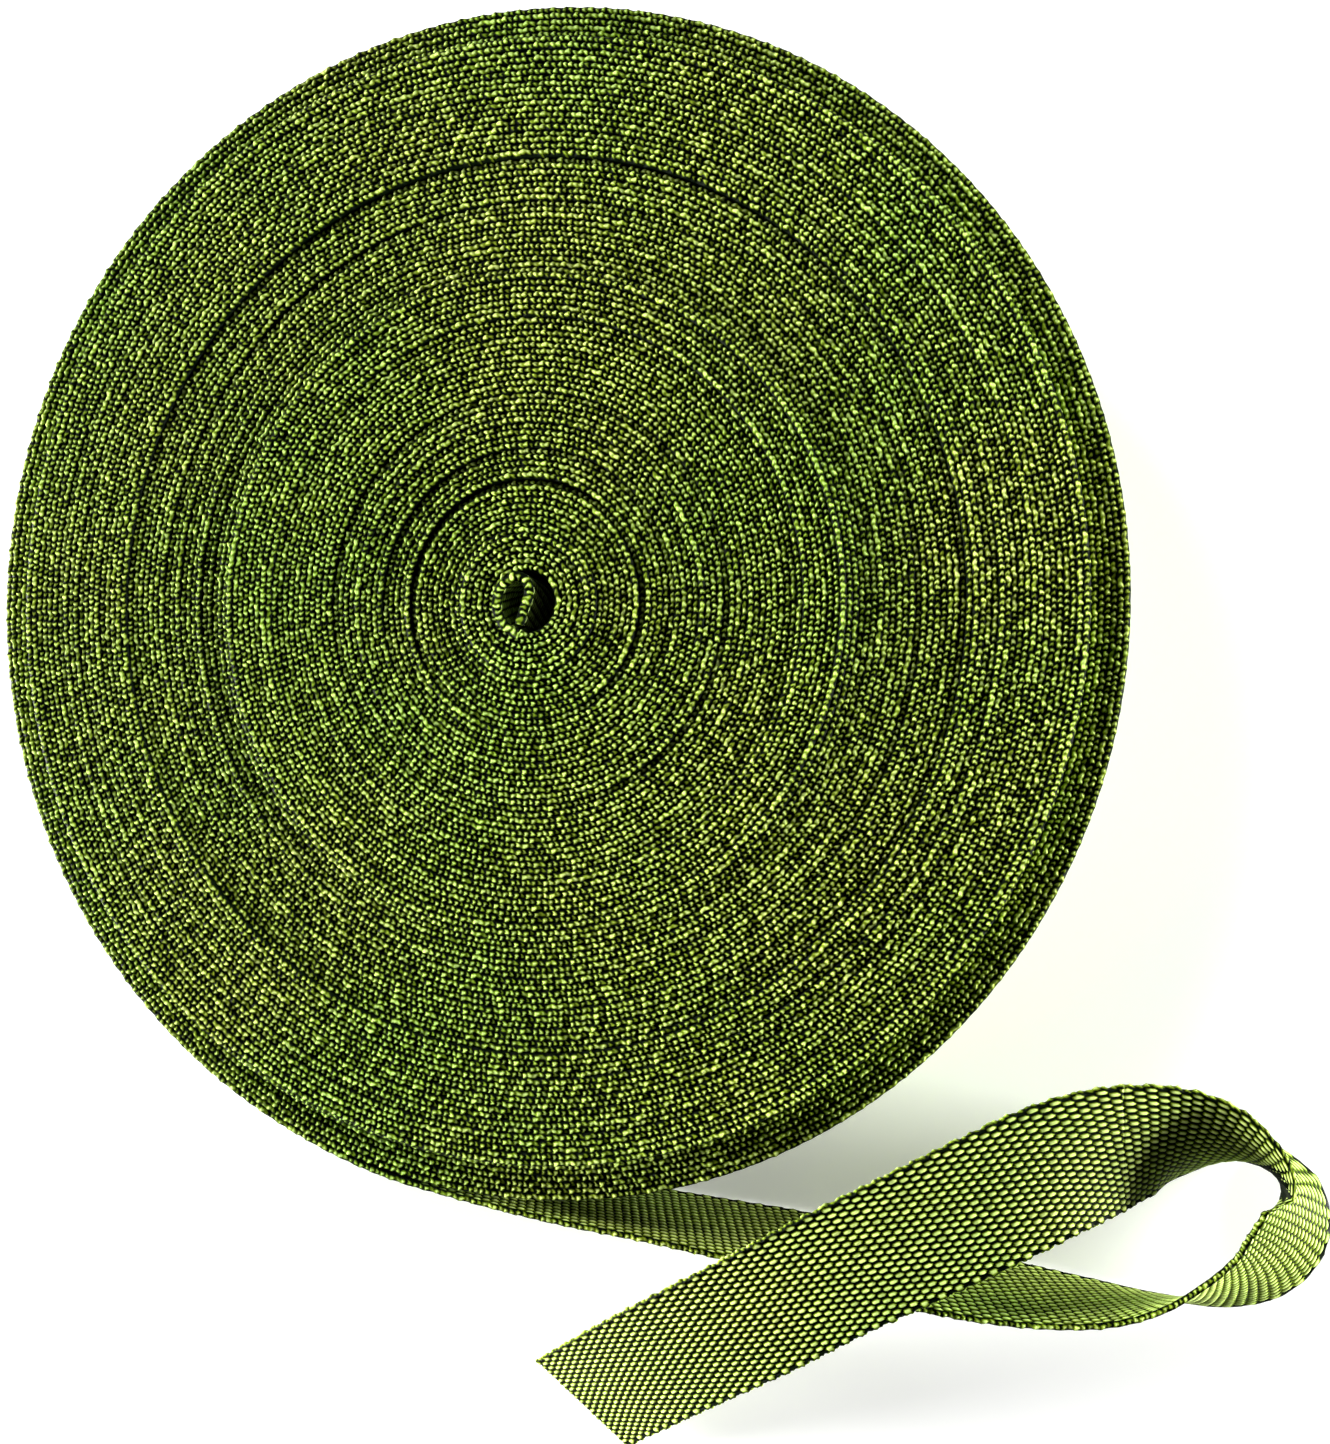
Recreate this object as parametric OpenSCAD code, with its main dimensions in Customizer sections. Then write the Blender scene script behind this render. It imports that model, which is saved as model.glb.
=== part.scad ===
// Roll of flat woven webbing, wound on itself with no core, lying on its side.
// The inner end is folded back in an S in the eye. The outer end leaves the roll,
// stands on its edge, turns back in one loop over itself and ends in an oblique cut.
// The origin is on the axis of the roll, on the surface that it lies on, and +Z is the roll's axis.
// The roll is one continuous strap: each node is a stretch of it, or a pack of its turns.

/* [Strap] */
// Width of the strap, from selvedge to selvedge
strap_w = 25; // [24:0.5:26]
// Thickness of the strap as wound, which is the pitch of the turns
strap_t = 1.11; // [1.08:0.01:1.14]

/* [Roll] */
// Mean radius of the eye where the first turn starts
eye_r = 5.2; // [5.1:0.1:6]
// Whole turns in the roll
turns = 93; // [88:1:98]
// Width of the roll along X, as a share of its mean diameter
share_x = 0.981; // [0.96:0.001:1]
// Width of the roll along Y, as a share of its mean diameter
share_y = 1.02; // [1:0.001:1.04]
// How far the outermost turns have slipped back along the axis
set_back = 4; // [3:0.5:6]

/* [Tail] */
// Where the tail leaves the roll, counted anticlockwise from +X
leave_angle = -102; // [-104:1:-100]
// How much further the top edge runs than the bottom edge at the oblique cut
cut_slant = 4; // [0:0.5:6]
// Play between the end of the last turn and the start of the tail, so that the tail can swing out
swing_gap = 0.45; // [0.4:0.05:0.6]

/* [Hidden] */

// Flat sides round one turn
turn_sides = 120;
// Rings of the swept tail between two points of its route
rings_per_step = 2;

// The last turn of each pack, counted from the eye
core_last = 7;
inner_last = 15;
middle_last = 41;
proud_last = 49;
face_last = 67;
rim_last = turns - 7;

// How far each pack stands above the set-back turns
core_rise = set_back + 1.2;
inner_rise = set_back + 0.4;
middle_rise = set_back;
proud_rise = set_back + 0.6;
face_rise = set_back - 0.2;
rim_rise = set_back + 0.3;

// Middle line of the folded inner end, from its cut end to where it starts the first turn:
// the S in the eye, by hand, and then the wall that it lies against, as a spiral
fold_points = [
    [-1.1, -4.0],
    [-0.6, -2.0],
    [0.1, -0.2],
    [0.6, 1.6],
    [0.5, 3.3],
    [-0.6, 4.5],
    [-2.2, 4.7],
    [-3.5, 3.9],
];
// Turn from the last point of the S to the start of the first turn, in degrees
fold_wall = 117;
fold_wall_steps = 39;
// Play between the folded end and the wall that it lies against
fold_play = 0.05;

// Route of the tail from where it leaves the roll. Each point has its place along X and Y from there,
// the height of the strap's middle in strap widths, and the lean of its top edge from upright
// towards the left of travel, in degrees. A strap with a lean of -90 lies with its inner face up.
tail_route = [
    [0, 0, 0.5, 0],
    [14, -3, 0.5, 0],
    [28, -5.5, 0.5, 0],
    [42.5, -7.5, 0.5, 0],
    [57, -9.5, 0.5, -2],
    [71.5, -11.5, 0.505, -4],
    [85.5, -14.5, 0.505, -6],
    [100, -17, 0.505, -5],
    [113.5, -18.5, 0.505, -1],
    [126, -19, 0.505, 7],
    [137, -18, 0.52, 21],
    [146, -15.5, 0.56, 37],
    [153, -11.5, 0.59, 48],
    [157, -6.5, 0.6, 52],
    [159, -1, 0.59, 47],
    [159, 3, 0.56, 34],
    [157, 6.5, 0.53, 10],
    [152.5, 8.5, 0.53, -19],
    [146, 10.5, 0.57, -44],
    [138, 12, 0.68, -65],
    [128, 12, 0.84, -78],
    [117, 9.5, 0.98, -85],
    [104.5, 4, 1.08, -86],
    [91, -3, 1.12, -84],
    [77, -11, 1.09, -83],
    [63, -20.5, 0.97, -84],
    [50, -30, 0.76, -85],
    [37.5, -40.5, 0.45, -87],
    [26.5, -51, 0.08, -89],
];
// The points of the route where one node of the tail ends and the next starts
lead_out_last = 9;
loop_last = 20;
route_last = len(tail_route) - 1;

// Mean radius of the spiral after n turns from the start of the first one
function spiral_r(n) = eye_r + strap_t * n;

// Point at a mean radius and an angle on the slightly oval roll
function oval_point(r, angle) = [share_x * r * cos(angle), share_y * r * sin(angle)];

// Outline of the roll after whole turns, with a step one strap thick where the next turn starts
function roll_outline(wound) = [
    for (k = [0:turn_sides])
        oval_point(spiral_r(wound + k / turn_sides), leave_angle + 360 * k / turn_sides)
];

// A pack of whole turns, lifted along the axis
module turn_pack(first, last, rise) {
    translate([0, 0, rise])
        linear_extrude(strap_w)
            difference() {
                polygon(roll_outline(last));
                polygon(roll_outline(first));
            }
}

// Unit vector along v
function unit(v) = v / norm(v);

// Direction of a line of points at point i
function heading(points, i) =
    unit(points[min(i + 1, len(points) - 1)] - points[max(i - 1, 0)]);

// The points of a line moved sideways by distance, to its left
function beside(points, distance) = [
    for (i = [0:len(points) - 1])
        let (d = heading(points, i)) points[i] + distance * [-d[1], d[0]]
];

// Middle line of the strap from the S to the start of the first turn, along the wall of the eye
fold_wall_line = [
    for (k = [0:fold_wall_steps])
        let (turned = fold_wall * (1 - k / fold_wall_steps))
            oval_point(spiral_r(0.5 - turned / 360) - fold_play, leave_angle - turned)
];
fold_line = concat(fold_points, fold_wall_line);

// Value between b and c of the smooth curve through a, b, c and d
function curve_value(a, b, c, d, u) =
    b + u / 2 * (c - a + u * (2 * a - 5 * b + 4 * c - d + u * (3 * b - a - 3 * c + d)));

// Point of the route, carried on straight past its ends
function route_point(i) =
    i < 0 ? 2 * tail_route[0] - tail_route[1]
    : i > route_last ? 2 * tail_route[route_last] - tail_route[route_last - 1]
    : tail_route[i];

// Place, height and lean of the tail at s, counted in points of the route
function route_at(s) =
    let (i = min(floor(s), route_last - 1), u = s - i)
        curve_value(route_point(i - 1), route_point(i), route_point(i + 1), route_point(i + 2), u);

// Start of the tail, which is also the axis that it swings about
swing_gap_angle = swing_gap / spiral_r(turns) * 180 / PI;
tail_start = oval_point(spiral_r(turns + 0.5) + swing_gap, leave_angle + swing_gap_angle);

// Middle of the strap at s
function tail_middle(s) =
    let (p = route_at(s)) [tail_start[0] + p[0], tail_start[1] + p[1], p[2] * strap_w];

// Direction of the tail at s
function tail_heading(s) =
    unit(tail_middle(min(s + 0.1, route_last)) - tail_middle(max(s - 0.1, 0)));

// How far the strap's edges run past its middle at s, which makes the oblique cut
function slant_at(s) = cut_slant / 2 * pow(max(0, s - route_last + 1), 2);

// The four corners of the strap at s: bottom and top edge on the inner face, then on the outer face
function tail_ring(s) =
    let (
        middle = tail_middle(s),
        ahead = tail_heading(s),
        left = unit([-ahead[1], ahead[0], 0]),
        up = cross(ahead, left),
        lean = route_at(s)[3],
        to_top = strap_w / 2 * (up * cos(lean) + left * sin(lean)) + slant_at(s) * ahead,
        to_inner_face = strap_t / 2 * (left * cos(lean) - up * sin(lean))
    )
    [
        middle - to_top + to_inner_face,
        middle + to_top + to_inner_face,
        middle + to_top - to_inner_face,
        middle - to_top - to_inner_face,
    ];

// The tail as a solid, between two points of its route
module tail_stretch(first, last) {
    steps = (last - first) * rings_per_step;
    corners = [for (k = [0:steps]) each tail_ring(first + k / rings_per_step)];
    sides = [
        for (k = [0:steps - 1], j = [0:3])
            let (a = 4 * k + j, b = 4 * k + (j + 1) % 4)
                each [[a, b, a + 4], [b, b + 4, a + 4]]
    ];
    end = 4 * steps;
    caps = [[2, 1, 0], [3, 2, 0], [end, end + 1, end + 2], [end, end + 2, end + 3]];
    polyhedron(corners, concat(sides, caps));
}

module eye_fold() {
    color("darkolivegreen")
        translate([0, 0, core_rise])
            linear_extrude(strap_w)
                polygon(concat(
                    beside(fold_line, strap_t / 2),
                    [for (i = [len(fold_line) - 1:-1:0]) beside(fold_line, -strap_t / 2)[i]]
                ));
}

module core_turns() {
    color("olivedrab") turn_pack(0, core_last, core_rise);
}

module inner_turns() {
    color("darkolivegreen") turn_pack(core_last, inner_last, inner_rise);
}

module middle_turns() {
    color("olivedrab") turn_pack(inner_last, middle_last, middle_rise);
}

module proud_turns() {
    color("yellowgreen") turn_pack(middle_last, proud_last, proud_rise);
}

module face_turns() {
    color("olivedrab") turn_pack(proud_last, face_last, face_rise);
}

module rim_turns() {
    color("yellowgreen") turn_pack(face_last, rim_last, rim_rise);
}

module set_back_turns() {
    color("darkolivegreen") turn_pack(rim_last, turns, 0);
}

module tail_lead_out() {
    color("olivedrab") tail_stretch(0, lead_out_last);
}

module tail_loop() {
    color("yellowgreen") tail_stretch(lead_out_last, loop_last);
}

module free_end() {
    color("olivedrab") tail_stretch(loop_last, route_last);
}

eye_fold();
core_turns();
inner_turns();
middle_turns();
proud_turns();
face_turns();
rim_turns();
set_back_turns();
tail_lead_out();
tail_loop();
free_end();
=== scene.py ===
# A roll of flat woven strap, lying on its side, with a folded inner end and a looped tail.
# The strap is one continuous length. It is made here in pieces that join end to end: the fold in
# the eye, the wound turns, and the tail. Every length is in metres.
import math

import bpy
import numpy as np
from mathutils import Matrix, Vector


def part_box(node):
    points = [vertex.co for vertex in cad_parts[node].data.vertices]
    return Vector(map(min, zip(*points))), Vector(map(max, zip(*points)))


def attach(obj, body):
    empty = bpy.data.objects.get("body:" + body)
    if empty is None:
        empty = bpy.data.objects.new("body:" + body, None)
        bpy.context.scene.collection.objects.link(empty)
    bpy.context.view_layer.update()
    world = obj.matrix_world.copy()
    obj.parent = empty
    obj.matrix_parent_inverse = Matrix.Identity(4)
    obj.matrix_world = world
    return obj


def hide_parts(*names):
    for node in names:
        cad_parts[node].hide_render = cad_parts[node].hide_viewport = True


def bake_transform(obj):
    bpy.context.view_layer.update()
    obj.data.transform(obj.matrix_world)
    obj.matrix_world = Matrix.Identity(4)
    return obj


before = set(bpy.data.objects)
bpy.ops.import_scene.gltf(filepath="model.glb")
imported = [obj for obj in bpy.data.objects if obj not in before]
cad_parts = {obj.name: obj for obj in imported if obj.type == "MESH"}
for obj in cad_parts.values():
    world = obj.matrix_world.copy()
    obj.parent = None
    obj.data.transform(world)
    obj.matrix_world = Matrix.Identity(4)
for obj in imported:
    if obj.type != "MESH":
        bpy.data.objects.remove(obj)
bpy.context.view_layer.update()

# The strap and the roll, as in the CAD model
STRAP_W = 0.025
STRAP_T = 0.00111
EYE_R = 0.0052
TURNS = 93
SHARE_X = 0.981
SHARE_Y = 1.02
LEAVE_ANGLE = -102
CUT_SLANT = 0.004
SWING_GAP = 0.00045

# Middle line of the folded inner end, up to the wall of the eye that it then follows
FOLD_POINTS = [
    (-0.0011, -0.0040),
    (-0.0006, -0.0020),
    (0.0001, -0.0002),
    (0.0006, 0.0016),
    (0.0005, 0.0033),
    (-0.0006, 0.0045),
    (-0.0022, 0.0047),
    (-0.0035, 0.0039),
]
# Turn from the last of those points to the start of the first turn, in degrees
FOLD_WALL = 117
FOLD_WALL_STEPS = 40

# Route of the tail from where it leaves the roll: place along X and Y from there, height of the
# strap's middle, and lean of its top edge from upright towards the left of travel, in degrees
TAIL_ROUTE = [
    (0.0000, 0.0000, 0.0125, 0),
    (0.0140, -0.0030, 0.0125, 0),
    (0.0280, -0.0055, 0.0125, 0),
    (0.0425, -0.0075, 0.0125, 0),
    (0.0570, -0.0095, 0.0125, -2),
    (0.0715, -0.0115, 0.0126, -4),
    (0.0855, -0.0145, 0.0126, -6),
    (0.1000, -0.0170, 0.0126, -5),
    (0.1135, -0.0185, 0.0126, -1),
    (0.1260, -0.0190, 0.0126, 7),
    (0.1370, -0.0180, 0.0130, 21),
    (0.1460, -0.0155, 0.0140, 37),
    (0.1530, -0.0115, 0.0148, 48),
    (0.1570, -0.0065, 0.0150, 52),
    (0.1590, -0.0010, 0.0148, 47),
    (0.1590, 0.0030, 0.0140, 34),
    (0.1570, 0.0065, 0.0132, 10),
    (0.1525, 0.0085, 0.0132, -19),
    (0.1460, 0.0105, 0.0142, -44),
    (0.1380, 0.0120, 0.0170, -65),
    (0.1280, 0.0120, 0.0210, -78),
    (0.1170, 0.0095, 0.0245, -85),
    (0.1045, 0.0040, 0.0270, -86),
    (0.0910, -0.0030, 0.0280, -84),
    (0.0770, -0.0110, 0.0272, -83),
    (0.0630, -0.0205, 0.0242, -84),
    (0.0500, -0.0300, 0.0190, -85),
    (0.0375, -0.0405, 0.0112, -87),
    (0.0265, -0.0510, 0.0020, -89),
]

# Points of the route where one piece of the tail ends and the next starts
LEAD_OUT_LAST = 9
LOOP_LAST = 20
ROUTE_LAST = len(TAIL_ROUTE) - 1
# Points of the smooth curve for each step of the route, and for each step of the fold's line
CURVE_POINTS = 24
FOLD_CURVE_POINTS = 8

# The weave on the faces: pips of warp, in columns across the strap
PIP_PITCH = 0.00345
PIP_RISE = 0.00034
COLUMNS = 36
POINTS_PER_COLUMN = 3
# Length of a pip as a share of its pitch, and its width as a share of its column
PIP_LENGTH = 0.52
PIP_WIDTH = 1.15
# How square the outline of a pip is, with 2 for an oval
PIP_SQUARE = 2.2
# The smaller this is, the steeper the sides of a pip are
PIP_STEEP = 0.45
# Where the random sizes of one column's pips start, after those of the column before
COLUMN_OFFSET = 0.0137
# How far a row of pips runs back along the strap for each unit of its width
ROW_SLANT = 0.22
# Width of the strap that each edge takes up, and of one column between the two
EDGE_W = 0.0008
COLUMN_W = (STRAP_W - 2 * EDGE_W) / COLUMNS
# The weave on the edges: loops of weft, on an edge that waves a little in and out
LOOP_PITCH = 0.00113
LOOP_RISE = 0.00070
EDGE_BULGE = 0.00014
# How far the loops of the bottom edge are shifted against the ones of the top edge
BOTTOM_SHIFT = 0.0003
# Heights between which the colour goes from the painted shade of the gaps to the painted highlight
# of the crests
GAP_LEVEL = 0.25
CREST_LEVEL = 0.80
# Random numbers in the table that the weave takes its unevenness from
STRAY_KNOTS = 4096

# The ground weave inside the tail's pips: its width, thickness and distance between stations
CORE_W = 0.0226
CORE_T = 0.0003
CORE_STEP = 0.0012

# Thickness of the folded end, which nothing presses flat, as a share of the strap's
FOLD_LOFT = 1.6
# How far the folded end stands above the pack round it
FOLD_LIFT = 0.0006
# Thickness over the strap's edges as a share of its own, so that turns touch all round the oval
PRESSED = 1.03

# Distance between the stations of the tail and of the folded end
TAIL_STEP = PIP_PITCH / 11
FOLD_STEP = LOOP_PITCH / 8
# Most faces in one piece, as an exported piece with more would be thinned
PIECE_QUADS = 96000
# Points over each edge of the tail, over the top edge of the fold, and over its bottom edge
TAIL_EDGE_POINTS = 8
FOLD_TOP_POINTS = 9
FOLD_BOTTOM_POINTS = 5
# Points over the bottom edge of a wound turn, which is hardly seen
BOTTOM_POINTS = 3

# The camera looks down, tilted by some degrees towards -X. Its sensor and lens are in millimetres.
CAMERA_PLACE = (0.0562, -0.0217, 0.248)
CAMERA_TILT = 8
CAMERA_SENSOR = 36
CAMERA_LENS = 30.69

# Lights: name, azimuth anticlockwise from +X, elevation, distance, size and power
LIGHTS = [
    ("left", 190, 8, 0.9, 0.2, 33),
    ("side", -6, 6, 0.9, 0.25, 32),
    ("key", 130, 28, 0.9, 0.3, 9),
]
# Strength of the light from all round, and of the floor's own glow
WORLD_STRENGTH = 0.045
FLOOR_GLOW = 0.28
# Distances from the roll's axis between which the floor's glow comes in
GLOW_START = 0.09
GLOW_FULL = 0.10
# Height of the floor, just under the lowest loops of the strap
FLOOR_Z = -0.0004
# Half the length of the floor's sides
FLOOR_HALF = 2.0

# Colour of the yarns by depth: the dye's green in the middle, a painted highlight on the crests and
# painted shade, nearly black, in the gaps: depth and colour
DYE_AND_PAINTED_LIGHT = [
    (0.0, (0.72, 0.84, 0.26, 1)),
    (0.4, (0.23, 0.315, 0.016, 1)),
    (0.9, (0.001, 0.0035, 0.0005, 1)),
]
# Tint of the patches where the dye has taken differently: value of the noise and colour
PATCHES = [
    (0.35, (0.72, 0.92, 0.75, 1)),
    (0.65, (1.0, 1.0, 1.0, 1)),
]

# Packs of turns: the CAD node of each, and its last turn
PACKS = {
    "core_turns": 7,
    "inner_turns": 15,
    "middle_turns": 41,
    "proud_turns": 49,
    "face_turns": 67,
    "rim_turns": TURNS - 7,
    "set_back_turns": TURNS,
}
# Turns over which a step between packs is spread, on each side of it. A deep step stays sharp.
STEP_SPREAD = 1.2
SHARP_SPREAD = 0.1
DEEP_STEP = 0.002
# Part of the last turn over which it moves out to where the tail starts
LEAVING_TURNS = 0.05
# Single turns that stand low or proud of the ones beside them, and by how much
UNEVEN_TURNS = {
    3: 0.0003,
    5: 0.0005,
    14: -0.0011,
    15: 0.0004,
    19: -0.0006,
    24: 0.0004,
    28: -0.0005,
    41: 0.0003,
    47: 0.0004,
    49: 0.0003,
    53: 0.0004,
    59: -0.0004,
    66: -0.0005,
    84: 0.0004,
    85: 0.0004,
}
# Turns over which such a turn's rise comes and goes, on each side of its middle
UNEVEN_SPREAD = 0.75
# Slow waves in the height of every turn: knots in each turn, size and seed
RIPPLES = [
    (5.3, 0.00016, 3),
    (1.0, 0.00014, 4),
]
# Stretches of the wound strap: CAD node, first turn, stations for each loop, points over the top
# edge, and columns of warp on the outer face, with none where the next turn hides it
WOUND = [
    ("core_turns", 0, 7, 8, 0),
    ("inner_turns", 7, 5, 7, 0),
    ("middle_turns", 15, 5, 7, 0),
    ("proud_turns", 41, 5, 7, 0),
    ("face_turns", 49, 5, 7, 0),
    ("rim_turns", 67, 5, 7, 0),
    ("rim_turns", TURNS - 8.1, 5, 7, 7),
    ("set_back_turns", TURNS - 7, 5, 7, 7),
    ("set_back_turns", TURNS - 6.9, 5, 7, 0),
    ("set_back_turns", TURNS - 1, 4, 7, COLUMNS),
]


# ---- Camera, light and floor ----

def add_camera():
    data = bpy.data.cameras.new("camera")
    data.sensor_width = CAMERA_SENSOR
    data.lens = CAMERA_LENS
    camera = bpy.data.objects.new("camera", data)
    camera.location = CAMERA_PLACE
    camera.rotation_euler = (0, math.radians(CAMERA_TILT), 0)
    bpy.context.scene.collection.objects.link(camera)
    bpy.context.scene.camera = camera


def add_light(name, azimuth, elevation, distance, size, power):
    """A soft square light aimed at the roll, with its angles in degrees."""
    data = bpy.data.lights.new(name, "AREA")
    data.size = size
    data.energy = power
    light = bpy.data.objects.new(name, data)
    a = math.radians(azimuth)
    e = math.radians(elevation)
    away = np.array([math.cos(a) * math.cos(e), math.sin(a) * math.cos(e), math.sin(e)])
    light.location = away * distance
    light.rotation_euler = (math.pi / 2 - e, 0, a + math.pi / 2)
    bpy.context.scene.collection.objects.link(light)


def add_map_range(nodes, from_range, to_range):
    """A node that maps one range of values onto another."""
    node = nodes.new("ShaderNodeMapRange")
    node.inputs["From Min"].default_value = from_range[0]
    node.inputs["From Max"].default_value = from_range[1]
    node.inputs["To Min"].default_value = to_range[0]
    node.inputs["To Max"].default_value = to_range[1]
    return node


def floor_material():
    """White, with a glow of its own that keeps the shadows pale and stops under the roll."""
    material = bpy.data.materials.new("floor_white")
    material.use_nodes = True
    nodes = material.node_tree.nodes
    link = material.node_tree.links.new
    shader = nodes["Principled BSDF"]
    shader.inputs["Base Color"].default_value = (0.9, 0.9, 0.9, 1)
    shader.inputs["Roughness"].default_value = 0.9
    shader.inputs["Emission Color"].default_value = (1, 1, 1, 1)
    place = nodes.new("ShaderNodeTexCoord")
    from_axis = nodes.new("ShaderNodeVectorMath")
    from_axis.operation = "LENGTH"
    link(place.outputs["Object"], from_axis.inputs[0])
    glow = add_map_range(nodes, (GLOW_START, GLOW_FULL), (0, FLOOR_GLOW))
    link(from_axis.outputs["Value"], glow.inputs["Value"])
    link(glow.outputs["Result"], shader.inputs["Emission Strength"])
    return material


def add_floor():
    h = FLOOR_HALF
    data = bpy.data.meshes.new("floor")
    data.from_pydata([(-h, -h, 0), (h, -h, 0), (h, h, 0), (-h, h, 0)], [], [(0, 1, 2, 3)])
    data.materials.append(floor_material())
    floor = bpy.data.objects.new("floor", data)
    floor.location.z = FLOOR_Z
    bpy.context.scene.collection.objects.link(floor)


def add_world(strength):
    world = bpy.data.worlds.new("studio")
    world.use_nodes = True
    background = world.node_tree.nodes["Background"]
    background.inputs["Color"].default_value = (1, 1, 1, 1)
    background.inputs["Strength"].default_value = strength
    bpy.context.scene.world = world
    bpy.context.scene.view_settings.view_transform = "Standard"


# ---- Material ----

def add_noise(nodes, scale, detail):
    node = nodes.new("ShaderNodeTexNoise")
    node.inputs["Scale"].default_value = scale
    node.inputs["Detail"].default_value = detail
    return node


def add_ramp(nodes, stops):
    """A colour ramp through stops, each a position and a colour."""
    node = nodes.new("ShaderNodeValToRGB")
    elements = node.color_ramp.elements
    elements[0].position, elements[0].color = stops[0]
    elements[1].position, elements[1].color = stops[-1]
    for position, colour in stops[1:-1]:
        elements.new(position).color = colour
    return node


def cloth_colour(nodes, link, place):
    """Colour of the webbing, by how deep a point lies between the yarns: its green, with a painted
    highlight on the crests and painted shade in the gaps, varied a little from patch to patch and
    from yarn to yarn."""
    patches = add_noise(nodes, 22, 3)
    link(place.outputs["Object"], patches.inputs["Vector"])
    tint = add_ramp(nodes, PATCHES)
    link(patches.outputs["Fac"], tint.inputs["Fac"])

    yarns = add_noise(nodes, 700, 2)
    link(place.outputs["Object"], yarns.inputs["Vector"])
    yarn_shade = add_map_range(nodes, (0.3, 0.7), (0.6, 1.3))
    link(yarns.outputs["Fac"], yarn_shade.inputs["Value"])
    varied = nodes.new("ShaderNodeVectorMath")
    varied.operation = "SCALE"
    link(tint.outputs["Color"], varied.inputs[0])
    link(yarn_shade.outputs["Result"], varied.inputs["Scale"])

    # The depth picks the painted highlight on the crests and the painted shade in the gaps
    depth = nodes.new("ShaderNodeAttribute")
    depth.attribute_name = "depth"
    dye_and_painted_light = add_ramp(nodes, DYE_AND_PAINTED_LIGHT)
    link(depth.outputs["Fac"], dye_and_painted_light.inputs["Fac"])
    colour = nodes.new("ShaderNodeVectorMath")
    colour.operation = "MULTIPLY"
    link(dye_and_painted_light.outputs["Color"], colour.inputs[0])
    link(varied.outputs["Vector"], colour.inputs[1])
    return colour.outputs["Vector"]


def webbing_material():
    """Coarse woven polypropylene, with a painted highlight on the crests of the yarns and painted
    shade, nearly black, between them.
    """
    material = bpy.data.materials.new("webbing")
    material.use_nodes = True
    nodes = material.node_tree.nodes
    link = material.node_tree.links.new
    shader = nodes["Principled BSDF"]
    shader.inputs["Specular IOR Level"].default_value = 0.03
    shader.inputs["Sheen Weight"].default_value = 0.03
    shader.inputs["Sheen Roughness"].default_value = 0.4
    shader.inputs["Sheen Tint"].default_value = (0.75, 1.0, 0.45, 1)
    place = nodes.new("ShaderNodeTexCoord")
    link(cloth_colour(nodes, link, place), shader.inputs["Base Color"])

    # Fibres, as a noise that is stretched along the strap
    fibres = add_noise(nodes, 1, 3)
    stretch = nodes.new("ShaderNodeMapping")
    stretch.inputs["Scale"].default_value = (900, 9000, 1)
    link(place.outputs["UV"], stretch.inputs["Vector"])
    link(stretch.outputs["Vector"], fibres.inputs["Vector"])
    bump = nodes.new("ShaderNodeBump")
    bump.inputs["Strength"].default_value = 0.35
    bump.inputs["Distance"].default_value = 0.00008
    link(fibres.outputs["Fac"], bump.inputs["Height"])
    link(bump.outputs["Normal"], shader.inputs["Normal"])
    rough = add_map_range(nodes, (0, 1), (0.38, 0.62))
    link(fibres.outputs["Fac"], rough.inputs["Value"])
    link(rough.outputs["Result"], shader.inputs["Roughness"])
    return material


# ---- Lines that the strap follows ----

def unit(v):
    """The rows of v, each at length 1."""
    return v / np.linalg.norm(v, axis=1, keepdims=True)


def smooth_curve(points, per_step):
    """Points of the smooth curve through points, carried on straight past its ends."""
    p = np.array(points, float)
    p = np.vstack([2 * p[0] - p[1], p, 2 * p[-1] - p[-2]])
    u = (np.arange(per_step) / per_step)[None, :, None]
    a, b, c, d = (p[i:len(p) - 3 + i, None, :] for i in range(4))
    curve = b + u / 2 * (c - a + u * (2*a - 5*b + 4*c - d + u * (3*b - a - 3*c + d)))
    return np.vstack([curve.reshape(-1, p.shape[1]), p[-2]])


def run_lengths(points):
    """Distance along a line of points, at each of them."""
    return np.concatenate([[0], np.cumsum(np.linalg.norm(np.diff(points, axis=0), axis=1))])


def even(rows, step):
    """rows again, at even steps of length along the line of points in their first three columns,
    and the distance along it at each."""
    run = run_lengths(rows[:, :3])
    at = np.linspace(0, run[-1], max(2, round(run[-1] / step) + 1))
    return np.stack([np.interp(at, run, column) for column in rows.T], axis=1), at


def oval(n, outward=0.5):
    """Point of the strap after n turns from the start of the first one, seen from above. outward
    is how far out of the turn's inner face it is, in strap thicknesses."""
    r = EYE_R + STRAP_T * (n + outward)
    angle = np.radians(LEAVE_ANGLE + 360 * n)
    return np.stack([SHARE_X * r * np.cos(angle), SHARE_Y * r * np.sin(angle)], axis=1)


# The tail starts just outside the last turn and a little further round
GAP_TURN = SWING_GAP / (EYE_R + STRAP_T * TURNS) / (2 * math.pi)
END_TURN = TURNS + GAP_TURN
EXIT = oval(np.array([END_TURN]), 0.5 + SWING_GAP / STRAP_T - GAP_TURN)[0]

# Run of the strap, from the start of the first turn, against turns
GRID_PER_TURN = 240
TURN_GRID = np.linspace(0, END_TURN, TURNS * GRID_PER_TURN + 1)
TURN_RUN = run_lengths(oval(TURN_GRID))


def eased(t):
    """t, held between 0 and 1, with a smooth start and end."""
    t = np.clip(t, 0, 1)
    return t * t * (3 - 2 * t)


class Line:
    """Stations along the strap: distance run, middle, and directions along it, across it towards
    its top edge, and out of its inner face. slant is how far its top edge is ahead of its middle,
    and its bottom edge behind."""

    def __init__(self, run, middle, across, slant=None):
        self.run = run
        self.middle = middle
        self.along = unit(np.gradient(middle, axis=0))
        self.inward = unit(np.cross(across, self.along))
        self.across = np.cross(self.along, self.inward)
        self.slant = np.zeros(len(run)) if slant is None else slant


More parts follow.
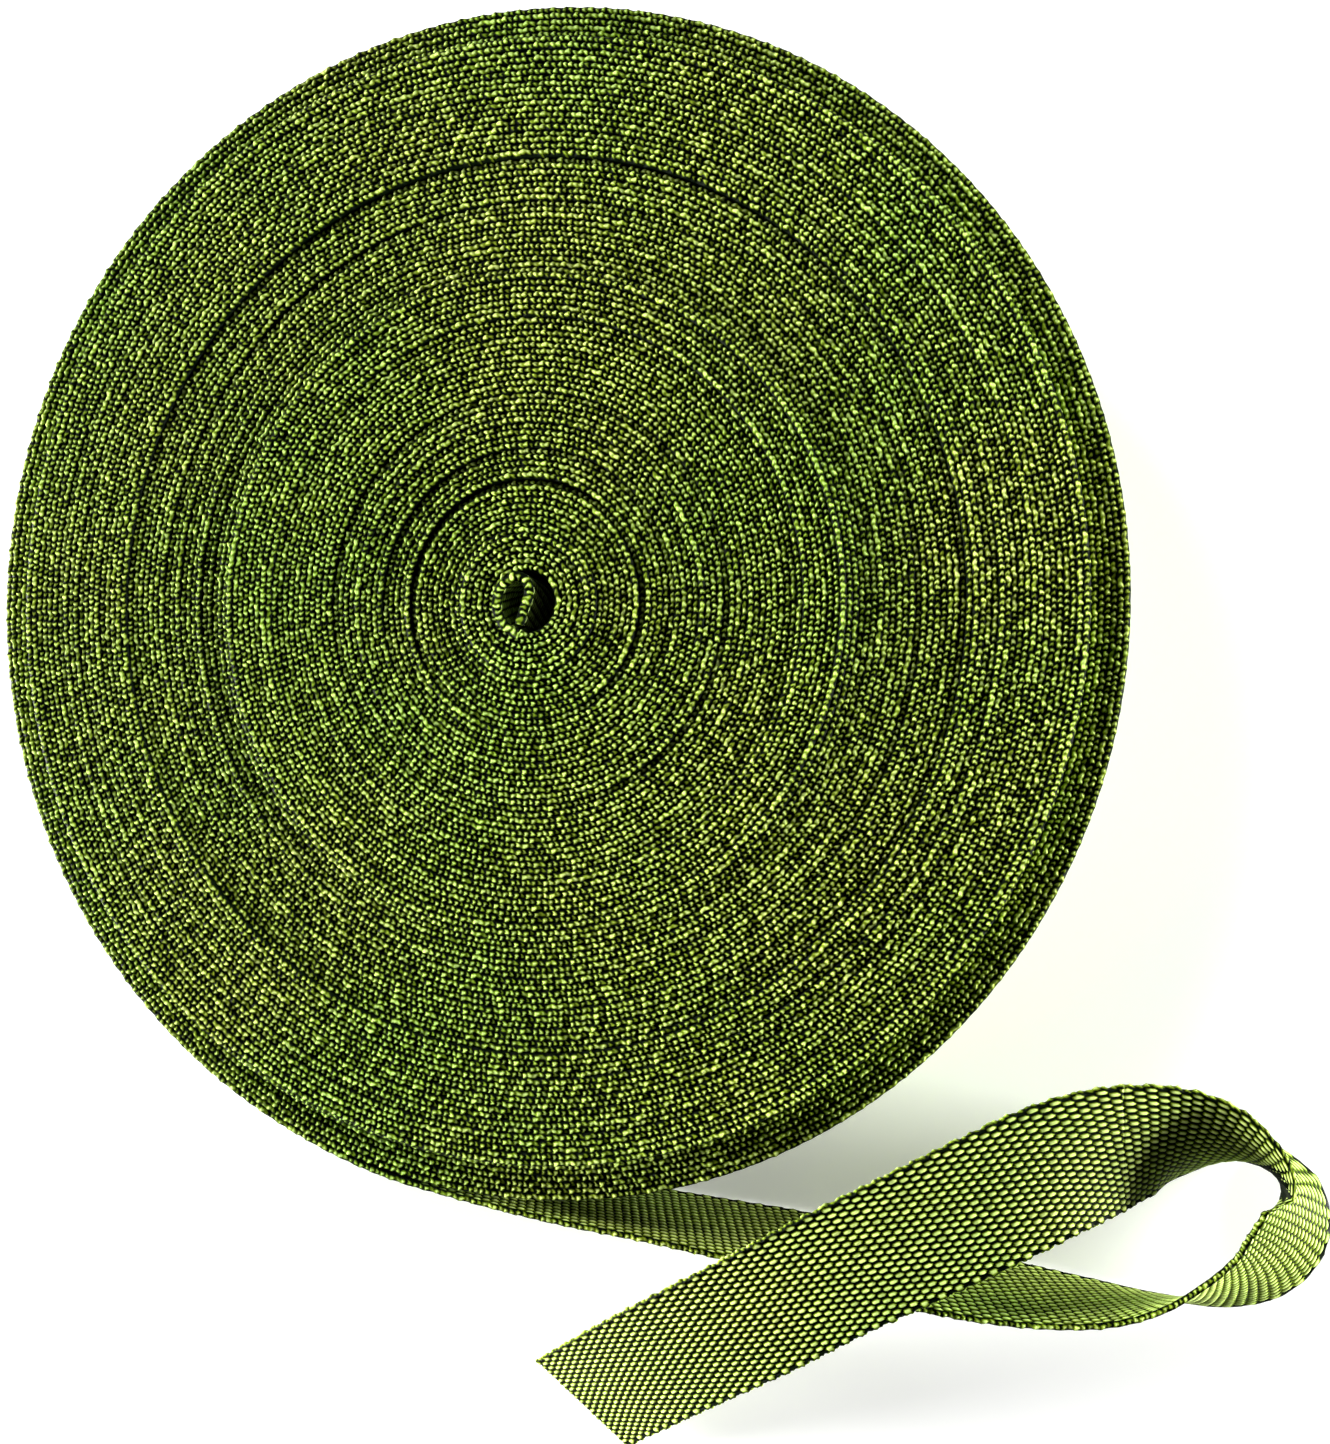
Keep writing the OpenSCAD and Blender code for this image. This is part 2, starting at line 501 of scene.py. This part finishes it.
def base_height(n):
    """Height of the strap's bottom edge above the table, after n turns."""
    rises = [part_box(node)[0].z for node in PACKS]
    height = np.full(len(n), rises[0])
    for last, low, high in zip(PACKS.values(), rises, rises[1:]):
        spread = SHARP_SPREAD if abs(high - low) > DEEP_STEP else STEP_SPREAD
        height += (high - low) * eased((n - last + spread) / (2 * spread))
    return height


def ripple(n, per_turn, size, seed):
    """Smooth random waves of a size, with per_turn knots in each turn."""
    rng = np.random.default_rng(seed)
    knots = rng.uniform(-size, size, int(TURNS * per_turn) + 3)
    at = np.clip(n, 0, TURNS) * per_turn
    i = at.astype(int)
    u = eased(at - i)
    return knots[i] * (1 - u) + knots[i + 1] * u


def uneven(n):
    """How far the strap stands above its pack after n turns."""
    height = sum(ripple(n, *wave) for wave in RIPPLES)
    for turn, rise in UNEVEN_TURNS.items():
        height += rise * eased(1 - np.abs(n - turn - 0.5) / UNEVEN_SPREAD)
    return height


def wound_line(first, last, step):
    """The strap on the roll, from one turn to another."""
    low, high = np.interp([first, last], TURN_GRID, TURN_RUN)
    run = np.linspace(low, high, round((high - low) / step) + 1)
    n = np.interp(run, TURN_RUN, TURN_GRID)
    leaving = eased((n - END_TURN + LEAVING_TURNS) / LEAVING_TURNS)
    place = oval(n, 0.5 + leaving * SWING_GAP / STRAP_T)
    lift = base_height(n) + uneven(n) * (1 - leaving) + STRAP_W / 2
    up = np.tile([0.0, 0.0, 1.0], (len(run), 1))
    return Line(run, np.hstack([place, lift[:, None]]), up)


def fold_line(step):
    """The folded inner end, from its cut to the start of the first turn."""
    turned = FOLD_WALL * (1 - np.arange(1, FOLD_WALL_STEPS + 1) / FOLD_WALL_STEPS)
    wall = oval(-turned / 360)
    points = smooth_curve(np.vstack([FOLD_POINTS, wall]), FOLD_CURVE_POINTS)
    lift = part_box("eye_fold")[0].z + STRAP_W / 2 + FOLD_LIFT
    middle, run = even(np.hstack([points, np.full((len(points), 1), lift)]), step)
    up = np.tile([0.0, 0.0, 1.0], (len(run), 1))
    return Line(run - run[-1], middle, up)


def tail_line(first, last, step):
    """The tail between two points of its route."""
    route = smooth_curve(TAIL_ROUTE, CURVE_POINTS)
    route[:, :2] += EXIT
    count = np.arange(len(route)) / CURVE_POINTS
    slant = CUT_SLANT / 2 * np.clip(count - ROUTE_LAST + 1, 0, None) ** 2
    run = TURN_RUN[-1] + run_lengths(route[:, :3])
    part = slice(first * CURVE_POINTS, last * CURVE_POINTS + 1)
    rows = np.column_stack([route[:, :3], np.radians(route[:, 3]), slant, run])[part]
    rows = even(rows, step)[0]
    middle = rows[:, :3]
    lean = rows[:, 3:4]
    ahead = unit(np.gradient(middle, axis=0))
    left = unit(np.stack([-ahead[:, 1], ahead[:, 0], np.zeros(len(ahead))], axis=1))
    up = np.cross(ahead, left)
    across = up * np.cos(lean) + left * np.sin(lean)
    return Line(rows[:, 5], middle, across, slant=rows[:, 4])


# ---- Section of the strap: points round it, moved in and out by the weave ----

def stray(run, pitch, seed):
    """Random numbers from -1 to 1 along the strap, with a knot at each pitch."""
    knots = np.random.default_rng(seed).uniform(-1, 1, STRAY_KNOTS)
    at = run / pitch
    i = np.floor(at).astype(int)
    u = at - i
    return knots[i % STRAY_KNOTS] * (1 - u) + knots[(i + 1) % STRAY_KNOTS] * u


def loops(run, x):
    """Height, from about 0 to 1, of the loops of weft over an edge. x goes from -1 to 1 through
    the strap."""
    # The loops are not quite evenly spaced, and their line sways from side to side
    beat = run / LOOP_PITCH + 0.4 * stray(run, 4 * LOOP_PITCH, seed=11)
    sway = 0.24 * np.sin(math.pi * beat) + 0.20 * stray(run, 1.4 * LOOP_PITCH, seed=12)
    # Each is a dome across the edge and a ridge along it, which is bent back at its sides
    dome = np.sqrt(np.clip(1 - ((x - sway) / 0.85) ** 2, 0, 1))
    ridge = np.cos(math.pi * (beat + 0.42 * np.abs(x - sway))) ** 2
    # Every other one is larger, and they differ in how far they run into each other
    size = 0.80 + 0.08 * np.cos(math.pi * beat) + 0.18 * stray(run, 0.9 * LOOP_PITCH, seed=13)
    joined = 0.38 + 0.34 * stray(run, LOOP_PITCH, seed=15)
    return dome * (joined + (1 - joined) * ridge) * size


def pips(run, y):
    """Height, from 0 to about 1, of the warp on a face. y is the distance across, in columns. A pip
    is wider than its column, as the ones beside it are half a pitch further on."""
    slanted = (run + ROW_SLANT * COLUMN_W * y) / PIP_PITCH
    height = np.zeros_like(y)
    for shift in (-1, 0, 1):
        column = np.floor(y) + shift
        beside = (y - column - 0.5) * 2
        beat = slanted + 0.5 * (column % 2)
        along = (beat - np.round(beat)) * 2
        fullness = 1 + 0.06 * stray(run + COLUMN_OFFSET * column, 0.8 * PIP_PITCH, seed=14)
        away = np.abs(along / PIP_LENGTH) ** PIP_SQUARE + np.abs(beside / PIP_WIDTH) ** PIP_SQUARE
        height = np.maximum(height, np.clip(1 - away, 0, 1) ** PIP_STEEP * fullness)
    return height


def gap_depth(height):
    """How deep a point lies between the yarns, from 0 on their crests to 1 in the gaps. It sets the
    painted highlight and the painted shade of the colour.
    """
    return eased((CREST_LEVEL - height) / (CREST_LEVEL - GAP_LEVEL))


def edge_section(run, edge, points):
    """Offsets across and inward of the points over one edge, from its inner to its outer face.
    edge is 1 for the top and -1 for the bottom."""
    x = np.tile(np.linspace(1, -1, points), (len(run), 1))
    height = loops(run[:, None] + (BOTTOM_SHIFT if edge < 0 else 0), x)
    bulge = EDGE_BULGE * np.cos(2 * math.pi * run[:, None] / PIP_PITCH)
    across = edge * (STRAP_W / 2 + bulge - LOOP_RISE * (1 - height))
    inward = x * PRESSED * STRAP_T * 0.5
    return across, inward, gap_depth(height)


def face_section(run, side, columns):
    """Offsets of the points down one face from the top edge, over its first columns of warp. side
    is 1 for the inner face and -1 for the outer one."""
    y = (np.arange(columns * POINTS_PER_COLUMN) + 0.5) / POINTS_PER_COLUMN
    y = np.tile(y, (len(run), 1))
    # The pips of the outer face lie a quarter of a pitch from those of the inner one
    height = pips(run[:, None] + (PIP_PITCH / 4 if side < 0 else 0), y)
    across = (STRAP_W / 2 - EDGE_W) * (1 - 2 * y / COLUMNS)
    inward = side * (STRAP_T * 0.5 - PIP_RISE * (1 - height))
    return across, inward, gap_depth(height)


def backwards(part):
    """The same points round the strap, in the opposite order."""
    return [table[:, ::-1] for table in part]


def section(line, top_points, bottom_points, inner_columns, outer_columns):
    """The points round the strap at every station: over the top edge, down the outer face, under
    the bottom edge and up the inner face. A face that lies against the next turn has no columns."""
    top = edge_section(line.run, 1, top_points)
    outer = face_section(line.run, -1, outer_columns)
    bottom = backwards(edge_section(line.run, -1, bottom_points))
    inner = backwards(face_section(line.run, 1, inner_columns))
    return [np.hstack(tables) for tables in zip(top, outer, bottom, inner)]


# ---- Meshes ----

def strip_points(line, across, inward):
    """Points round the strap at every station, from their offsets across it and inward."""
    slant = line.slant[:, None] * across / (STRAP_W / 2)
    return (
        line.middle[:, None, :]
        + across[:, :, None] * line.across[:, None, :]
        + inward[:, :, None] * line.inward[:, None, :]
        + slant[:, :, None] * line.along[:, None, :]
    ).reshape(-1, 3)


def tube_faces(rows, cols):
    """Faces of a closed tube of rows rings of cols points: the points at the corners of all faces,
    one face after another, and the number of corners of each."""
    i, j = np.meshgrid(np.arange(rows - 1), np.arange(cols), indexing="ij")
    k = (j + 1) % cols
    quads = np.stack([i * cols + j, i * cols + k, (i + 1) * cols + k, (i + 1) * cols + j], axis=2)
    start_cap = np.arange(cols)[::-1]
    end_cap = (rows - 1) * cols + np.arange(cols)
    corners = np.concatenate([quads.ravel(), start_cap, end_cap])
    sizes = np.concatenate([np.full((rows - 1) * cols, 4), [cols, cols]])
    return corners, sizes


def strip_mesh(name, line, offsets, material):
    """A closed mesh through the section's points, with its ends capped."""
    across, inward, depth = offsets
    rows, cols = across.shape
    points = strip_points(line, across, inward)
    corners, sizes = tube_faces(rows, cols)
    starts = np.concatenate([[0], np.cumsum(sizes)[:-1]])

    mesh = bpy.data.meshes.new(name)
    mesh.vertices.add(len(points))
    mesh.vertices.foreach_set("co", points.ravel())
    mesh.loops.add(len(corners))
    mesh.loops.foreach_set("vertex_index", corners.astype(np.int32))
    mesh.polygons.add(len(sizes))
    mesh.polygons.foreach_set("loop_start", starts.astype(np.int32))
    mesh.polygons.foreach_set("use_smooth", np.ones(len(sizes), bool))
    mesh.update(calc_edges=True)

    # For the material: depth between the yarns, which sets the painted highlight and painted shade,
    # and metres along the strap and round it
    shade = mesh.attributes.new("depth", "FLOAT", "POINT")
    shade.data.foreach_set("value", depth.ravel().astype(np.float32))
    girth = np.tile(np.arange(cols) / cols * 2 * STRAP_W, rows)
    along = np.repeat(line.run - line.run[0], cols)
    uv = np.stack([along, girth], axis=1)[corners]
    mesh.uv_layers.new(name="weave").data.foreach_set("uv", uv.ravel().astype(np.float32))
    mesh.validate()
    mesh.materials.append(material)

    piece = bpy.data.objects.new(name, mesh)
    bpy.context.scene.collection.objects.link(piece)
    return piece


# ---- The strap, from its free end to the eye ----

def tail_core(material):
    """The ground weave in the middle of the tail, in one piece from end to end, and its line. It is
    coloured all over with the nearly black painted shade of the gaps.
    """
    line = tail_line(0, ROUTE_LAST, CORE_STEP)
    corner = np.ones((len(line.run), 4))
    across = corner * [1, 1, -1, -1] * CORE_W / 2
    inward = corner * [1, -1, -1, 1] * CORE_T / 2
    # Depth 1 all over gives the core the painted shade of the gaps
    piece = strip_mesh("strap_tail_core", line, (across, inward, corner), material)
    return piece, line


def build_tail(material):
    """The three stretches of the tail and the core that they share. The first stretch and the core,
    where the tail leaves the roll, are put on no body; the other two are attached to the tail."""
    stretches = [
        ("tail_lead_out", 0, LEAD_OUT_LAST),
        ("tail_loop", LEAD_OUT_LAST, LOOP_LAST),
        ("free_end", LOOP_LAST, ROUTE_LAST),
    ]
    pieces = []
    for node, first, last in stretches:
        line = tail_line(first, last, TAIL_STEP)
        offsets = section(line, TAIL_EDGE_POINTS, TAIL_EDGE_POINTS, COLUMNS, COLUMNS)
        piece = strip_mesh("strap_" + node, line, offsets, material)
        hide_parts(node)
        pieces.append(piece)
    core, core_line = tail_core(material)
    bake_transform(pieces[0])
    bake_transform(core)
    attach(pieces[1], "tail")
    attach(pieces[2], "tail")


def build_fold(material):
    """The folded inner end, in the eye."""
    line = fold_line(FOLD_STEP)
    across, inward, depth = section(
        line, FOLD_TOP_POINTS, FOLD_BOTTOM_POINTS, COLUMNS, COLUMNS
    )
    piece = strip_mesh("strap_eye_fold", line, (across, inward * FOLD_LOFT, depth), material)
    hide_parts("eye_fold")
    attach(piece, "roll")


def build_turns(material):
    """The wound turns, in pieces short enough to handle."""
    lasts = [stretch[1] for stretch in WOUND[1:]] + [END_TURN]
    made = 0
    for (node, first, steps, top_points, outer_columns), last in zip(WOUND, lasts):
        low, high = np.interp([first, last], TURN_GRID, TURN_RUN)
        step = LOOP_PITCH / steps
        cols = top_points + BOTTOM_POINTS + POINTS_PER_COLUMN * outer_columns
        count = math.ceil((high - low) / step * cols / PIECE_QUADS)
        ends = np.interp(np.linspace(low, high, count + 1), TURN_RUN, TURN_GRID)
        for start, end in zip(ends, ends[1:]):
            made += 1
            line = wound_line(start, end, step)
            offsets = section(line, top_points, BOTTOM_POINTS, 0, outer_columns)
            piece = strip_mesh(f"strap_{node}_{made}", line, offsets, material)
            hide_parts(node)
            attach(piece, "roll")


add_camera()
webbing = webbing_material()
build_tail(webbing)
for light in LIGHTS:
    add_light(*light)
add_world(WORLD_STRENGTH)
add_floor()
build_fold(webbing)
build_turns(webbing)
